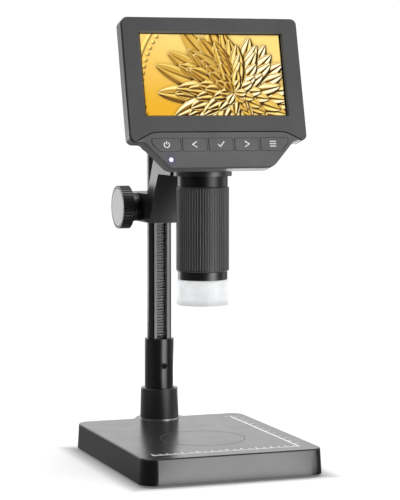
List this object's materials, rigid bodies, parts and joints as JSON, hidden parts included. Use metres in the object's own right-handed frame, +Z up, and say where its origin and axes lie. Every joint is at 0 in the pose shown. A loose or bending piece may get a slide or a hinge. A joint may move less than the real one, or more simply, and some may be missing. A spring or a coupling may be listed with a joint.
{
  "type": "lcd digital microscope",
  "caption": "Upright digital microscope: a tilted flat display over a ribbed focusing tube, carried by an arm on a rack-and-pinion column above a flat stage.",
  "frame": {"origin": "on the desk, at the centre of the footprint of the base with its rear lobe", "axes": "+Z up along the column, front of the display and the operator towards -Y, +X to the right as the operator sees it"},
  "size_m": [0.1224, 0.1692, 0.2914],
  "materials": {
    "base_black": "satin black moulded plastic",
    "cover_plastic": "matt black moulded plastic",
    "ballast_iron": "rough cast iron",
    "foot_rubber": "soft black rubber",
    "screw_steel": "zinc-plated steel",
    "socket_plastic": "fine matt black",
    "column_metal": "black anodised",
    "rack_metal": "black anodised, worn on the tooth tips",
    "bracket_metal": "black powder coat",
    "bush_plastic": "matt black acetal",
    "pad_plastic": "white nylon",
    "shaft_steel": "ground steel",
    "pinion_brass": "cut brass",
    "knob_plastic": "matt black moulded plastic",
    "knob_face": "satin dark grey",
    "bezel_plastic": "fine satin black",
    "fascia_plastic": "fine satin black",
    "housing_plastic": "fine matt black",
    "display_glass": "clear polished",
    "display_picture": "lit display",
    "carrier_steel": "stamped steel sheet",
    "circuit_board": "green solder mask",
    "port_metal": "plated steel",
    "battery_wrap": "blue shrink wrap",
    "switch_body": "black switch body",
    "status_lens": "milky light pipe",
    "gloss_black": "polished black",
    "sensor_chip": "dark sensor window",
    "light_board": "white solder mask",
    "led_white": "white emitter",
    "frosted_cap": "frosted clear plastic",
    "sleeve_plastic": "matt black, ribbed",
    "lens_mount": "black anodised",
    "lens_glass": "coated lens glass",
    "button_plastic": "fine satin black"
  },
  "bodies": {
    "stand": {"base_shell": "base_black", "base_cover": "cover_plastic", "ballast_plate": "ballast_iron", "rubber_feet": "foot_rubber", "base_screws": "screw_steel", "post_socket": "socket_plastic", "set_screw": "screw_steel", "column_post": "column_metal", "rack_strip": "rack_metal", "column_cap": "socket_plastic", "post_bolt": "screw_steel"},
    "carriage": {"carriage_bracket": "bracket_metal", "left_bush": "bush_plastic", "right_bush": "bush_plastic", "tension_pad": "pad_plastic", "tension_screw": "screw_steel"},
    "height_knobs": {"knob_shaft": "shaft_steel", "pinion_gear": "pinion_brass", "left_knob": "knob_plastic", "right_knob": "knob_plastic", "left_knob_cap": "knob_face", "right_knob_cap": "knob_face"},
    "head": {"display_bezel": "bezel_plastic", "control_fascia": "fascia_plastic", "rear_housing": "housing_plastic", "display_glass": "display_glass", "lcd_panel": "display_picture", "display_carrier": "carrier_steel", "main_board": "circuit_board", "board_screws": "screw_steel", "usb_port": "port_metal", "card_slot": "port_metal", "battery": "battery_wrap", "button_board": "circuit_board", "tact_switches": "switch_body", "status_led": "status_lens", "housing_screws": "screw_steel", "barrel_mount": "gloss_black", "mount_screws": "screw_steel", "sensor_board": "circuit_board", "image_sensor": "sensor_chip", "barrel_tube": "gloss_black", "light_ring": "gloss_black", "led_ring_board": "light_board", "ring_leds": "led_white", "diffuser_cap": "frosted_cap"},
    "focus_ring": {"focus_sleeve": "sleeve_plastic"},
    "lens_cell": {"lens_carrier": "lens_mount", "front_lens": "lens_glass", "rear_lens": "lens_glass", "lens_spacer": "lens_mount", "lens_retainer": "lens_mount", "guide_pin": "shaft_steel"},
    "power_key": {"power_button": "button_plastic"},
    "previous_key": {"previous_button": "button_plastic"},
    "select_key": {"select_button": "button_plastic"},
    "next_key": {"next_button": "button_plastic"},
    "menu_key": {"menu_button": "button_plastic"}
  },
  "joints": [
    {"name": "height_slide", "type": "slide", "parent": "stand", "child": "carriage", "axis": [0, 0, 1], "range_m": [-0.08, 0.04]},
    {"name": "knob_turn", "type": "hinge", "parent": "carriage", "child": "height_knobs", "pos_m": [0, 0.0574, 0.1662], "axis": [1, 0, 0], "range_deg": [-320, 640]},
    {"name": "head_lift", "type": "slide", "parent": "carriage", "child": "head", "axis": [0, 0, 1], "range_m": [0, 0.095]},
    {"name": "focus_turn", "type": "hinge", "parent": "head", "child": "focus_ring", "pos_m": [0, -0.022, 0.155], "axis": [0, 0, 1], "range_deg": [-135, 135]},
    {"name": "focus_slide", "type": "slide", "parent": "head", "child": "lens_cell", "axis": [0, 0, 1], "range_m": [-0.00451, 0.00451]},
    {"name": "press_power", "type": "slide", "parent": "head", "child": "power_key", "axis": [0, 0.9681, -0.2504], "range_m": [0, 0.0005], "stiffness_N_per_m": 1500},
    {"name": "press_previous", "type": "slide", "parent": "head", "child": "previous_key", "axis": [0, 0.9681, -0.2504], "range_m": [0, 0.0005], "stiffness_N_per_m": 1500},
    {"name": "press_select", "type": "slide", "parent": "head", "child": "select_key", "axis": [0, 0.9681, -0.2504], "range_m": [0, 0.0005], "stiffness_N_per_m": 1500},
    {"name": "press_next", "type": "slide", "parent": "head", "child": "next_key", "axis": [0, 0.9681, -0.2504], "range_m": [0, 0.0005], "stiffness_N_per_m": 1500},
    {"name": "press_menu", "type": "slide", "parent": "head", "child": "menu_key", "axis": [0, 0.9681, -0.2504], "range_m": [0, 0.0005], "stiffness_N_per_m": 1500}
  ],
  "couplings": [
    {"joint": "knob_turn", "follows": "height_slide", "rad_per_m": -138.89},
    {"joint": "focus_slide", "follows": "focus_turn", "m_per_rad": -0.0019099}
  ]
}
